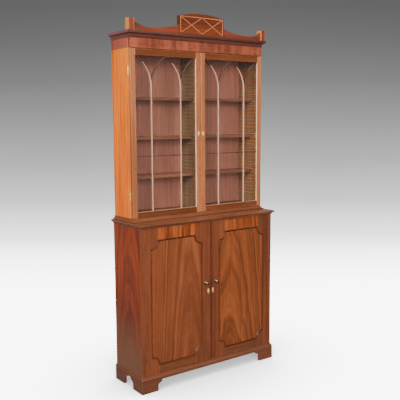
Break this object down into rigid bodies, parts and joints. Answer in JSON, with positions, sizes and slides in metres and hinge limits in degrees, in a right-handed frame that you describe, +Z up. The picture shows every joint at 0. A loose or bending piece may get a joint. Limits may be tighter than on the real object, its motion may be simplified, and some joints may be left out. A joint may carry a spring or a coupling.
{
  "type": "glazed bookcase on a cupboard",
  "caption": "Tall mahogany bookcase: glazed doors with pointed-arch glazing bars and adjustable shelves above a panelled cupboard on bracket feet, with an arched crest.",
  "frame": {"origin": "on the floor, at the middle of the outline's width and depth", "axes": "+X to the right seen from the front, +Y to the flat back, +Z up"},
  "size_m": [1.036, 0.338, 2.222],
  "materials": {
    "mahogany": "french polished mahogany",
    "figured_mahogany": "french polished figured mahogany veneer",
    "carcase_wood": "stained carcase wood, matt",
    "stringing": "boxwood stringing under polish",
    "glass": "clear old glass",
    "brass": "aged brass",
    "lock_steel": "dull steel"
  },
  "bodies": {
    "root": {"plinth_front": "mahogany", "plinth_side_brackets": "mahogany", "plinth_rear_rail": "carcase_wood", "plinth_glue_blocks": "carcase_wood", "lower_bottom_board": "carcase_wood", "lower_top_board": "carcase_wood", "lower_left_side": "mahogany", "lower_right_side": "mahogany", "lower_back_panel": "carcase_wood", "lower_shelf_battens": "carcase_wood", "waist_moulding": "mahogany", "upper_left_side": "mahogany", "upper_right_side": "mahogany", "upper_top_board": "carcase_wood", "upper_bottom_board": "carcase_wood", "upper_back_panel": "carcase_wood", "centre_partition": "mahogany", "upper_base_moulding": "mahogany", "frieze": "figured_mahogany", "cornice": "mahogany", "crest_wings": "mahogany", "crest_tablet": "mahogany", "crest_corner_blocks": "mahogany", "crest_stringing": "stringing", "carcase_hinge_leaves": "brass"},
    "upper_left_door": {"upper_left_door_frame": "mahogany", "upper_left_door_glazing_bars": "mahogany", "upper_left_door_glass": "glass", "upper_left_door_hinge_leaves": "brass", "upper_left_door_escutcheon": "brass"},
    "lower_left_door": {"lower_left_door_frame": "mahogany", "lower_left_door_panel": "figured_mahogany", "lower_left_door_panel_moulding": "mahogany", "lower_left_door_knob": "brass", "lower_left_door_escutcheon": "brass", "lower_left_door_hinge_leaves": "brass"},
    "upper_right_door": {"upper_right_door_frame": "mahogany", "upper_right_door_glazing_bars": "mahogany", "upper_right_door_glass": "glass", "upper_right_door_hinge_leaves": "brass", "upper_right_door_escutcheon": "brass", "upper_meeting_bead": "mahogany", "upper_lock_case": "lock_steel"},
    "lower_right_door": {"lower_right_door_frame": "mahogany", "lower_right_door_panel": "figured_mahogany", "lower_right_door_panel_moulding": "mahogany", "lower_right_door_knob": "brass", "lower_right_door_escutcheon": "brass", "lower_right_door_hinge_leaves": "brass", "lower_meeting_bead": "mahogany", "lower_lock_case": "lock_steel"},
    "upper_bolt": {"upper_lock_bolt": "brass"},
    "lower_bolt": {"lower_lock_bolt": "brass"},
    "left_lower_shelf_body": {"left_lower_shelf": "mahogany"},
    "left_middle_shelf_body": {"left_middle_shelf": "mahogany"},
    "left_upper_shelf_body": {"left_upper_shelf": "mahogany"},
    "right_lower_shelf_body": {"right_lower_shelf": "mahogany"},
    "right_middle_shelf_body": {"right_middle_shelf": "mahogany"},
    "right_upper_shelf_body": {"right_upper_shelf": "mahogany"},
    "cupboard_shelf_body": {"lower_shelf": "carcase_wood"}
  },
  "joints": [
    {"name": "upper_left_door_hinge", "type": "hinge", "parent": "root", "child": "upper_left_door", "pos_m": [-0.4923, -0.0275, 1.5135], "axis": [0, 0, -1], "range_deg": [0, 170]},
    {"name": "upper_right_door_hinge", "type": "hinge", "parent": "root", "child": "upper_right_door", "pos_m": [0.4923, -0.0275, 1.5135], "axis": [0, 0, 1], "range_deg": [0, 170]},
    {"name": "lower_left_door_hinge", "type": "hinge", "parent": "root", "child": "lower_left_door", "pos_m": [-0.4775, -0.1443, 0.539], "axis": [0, 0, -1], "range_deg": [0, 170]},
    {"name": "lower_right_door_hinge", "type": "hinge", "parent": "root", "child": "lower_right_door", "pos_m": [0.4775, -0.1443, 0.539], "axis": [0, 0, 1], "range_deg": [0, 170]},
    {"name": "upper_bolt_slide", "type": "slide", "parent": "upper_right_door", "child": "upper_bolt", "axis": [-1, 0, 0], "range_m": [0, 0.008]},
    {"name": "lower_bolt_slide", "type": "slide", "parent": "lower_right_door", "child": "lower_bolt", "axis": [-1, 0, 0], "range_m": [0, 0.01]},
    {"name": "left_lower_shelf_slide", "type": "slide", "parent": "root", "child": "left_lower_shelf_body", "axis": [0, -1, 0], "range_m": [0, 0.05]},
    {"name": "left_middle_shelf_slide", "type": "slide", "parent": "root", "child": "left_middle_shelf_body", "axis": [0, -1, 0], "range_m": [0, 0.05]},
    {"name": "left_upper_shelf_slide", "type": "slide", "parent": "root", "child": "left_upper_shelf_body", "axis": [0, -1, 0], "range_m": [0, 0.05]},
    {"name": "right_lower_shelf_slide", "type": "slide", "parent": "root", "child": "right_lower_shelf_body", "axis": [0, -1, 0], "range_m": [0, 0.05]},
    {"name": "right_middle_shelf_slide", "type": "slide", "parent": "root", "child": "right_middle_shelf_body", "axis": [0, -1, 0], "range_m": [0, 0.05]},
    {"name": "right_upper_shelf_slide", "type": "slide", "parent": "root", "child": "right_upper_shelf_body", "axis": [0, -1, 0], "range_m": [0, 0.05]},
    {"name": "cupboard_shelf_slide", "type": "slide", "parent": "root", "child": "cupboard_shelf_body", "axis": [0, -1, 0], "range_m": [0, 0.036]}
  ]
}
